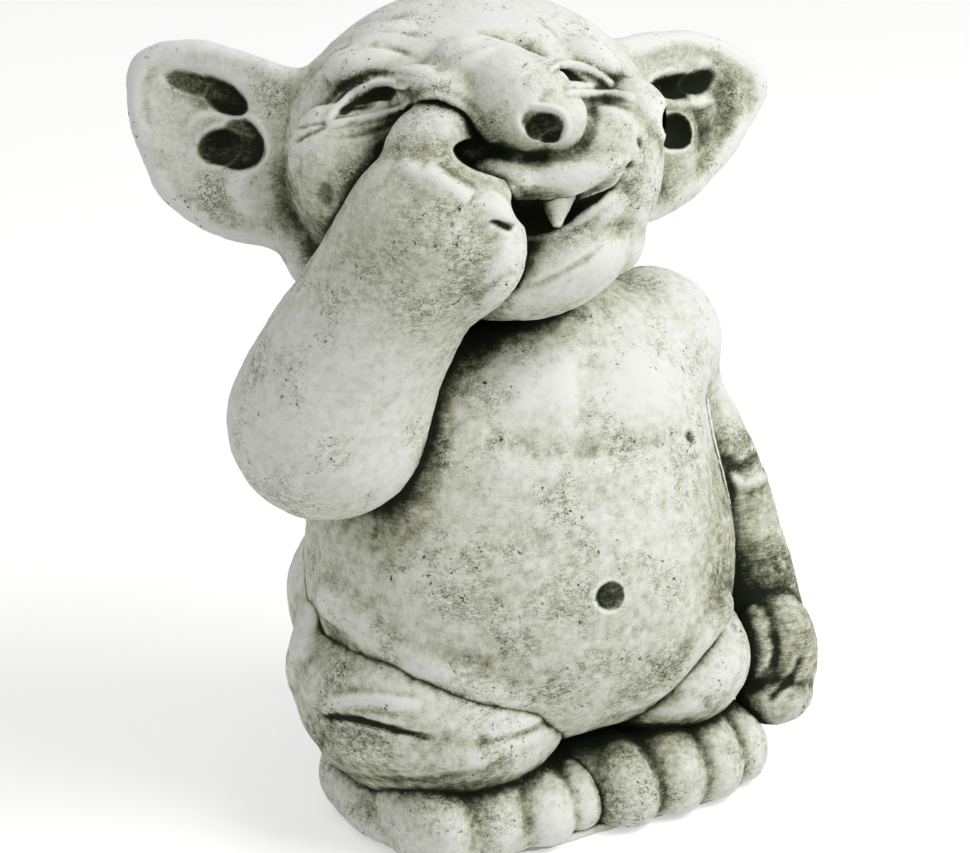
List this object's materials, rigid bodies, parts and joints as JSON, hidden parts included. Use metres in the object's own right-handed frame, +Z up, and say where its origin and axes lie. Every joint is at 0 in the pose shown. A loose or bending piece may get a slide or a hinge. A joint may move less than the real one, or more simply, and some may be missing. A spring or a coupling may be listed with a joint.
{
  "type": "troll garden figure",
  "caption": "Squat cast-stone garden troll with big swept ears, a finger raised to its nose and the other arm hanging, on a thin slab.",
  "frame": {"origin": "under the middle of the body, on the underside of the slab", "axes": "+Z up, -Y to the figure's front, +X to the figure's left"},
  "size_m": [0.2998, 0.2179, 0.3873],
  "materials": {
    "cast_stone": "matt, weathered, with dark patina in the hollows"
  },
  "bodies": {
    "root": {"slab": "cast_stone", "torso": "cast_stone", "right_thigh": "cast_stone", "left_thigh": "cast_stone", "right_hip": "cast_stone", "left_hip": "cast_stone", "right_foot": "cast_stone", "left_foot": "cast_stone", "right_toes": "cast_stone", "left_toes": "cast_stone", "head": "cast_stone", "nose": "cast_stone", "right_shoulder": "cast_stone", "right_forearm": "cast_stone", "right_fist": "cast_stone", "right_index_finger": "cast_stone", "right_curled_fingers": "cast_stone", "right_brow": "cast_stone", "left_brow": "cast_stone", "right_eye": "cast_stone", "left_eye": "cast_stone", "right_cheek": "cast_stone", "left_cheek": "cast_stone", "upper_lip": "cast_stone", "fang": "cast_stone", "chin": "cast_stone", "right_ear": "cast_stone", "left_ear": "cast_stone", "left_upper_arm": "cast_stone", "left_forearm": "cast_stone", "left_hand": "cast_stone", "left_thumb": "cast_stone", "left_fingers": "cast_stone"}
  },
  "joints": []
}
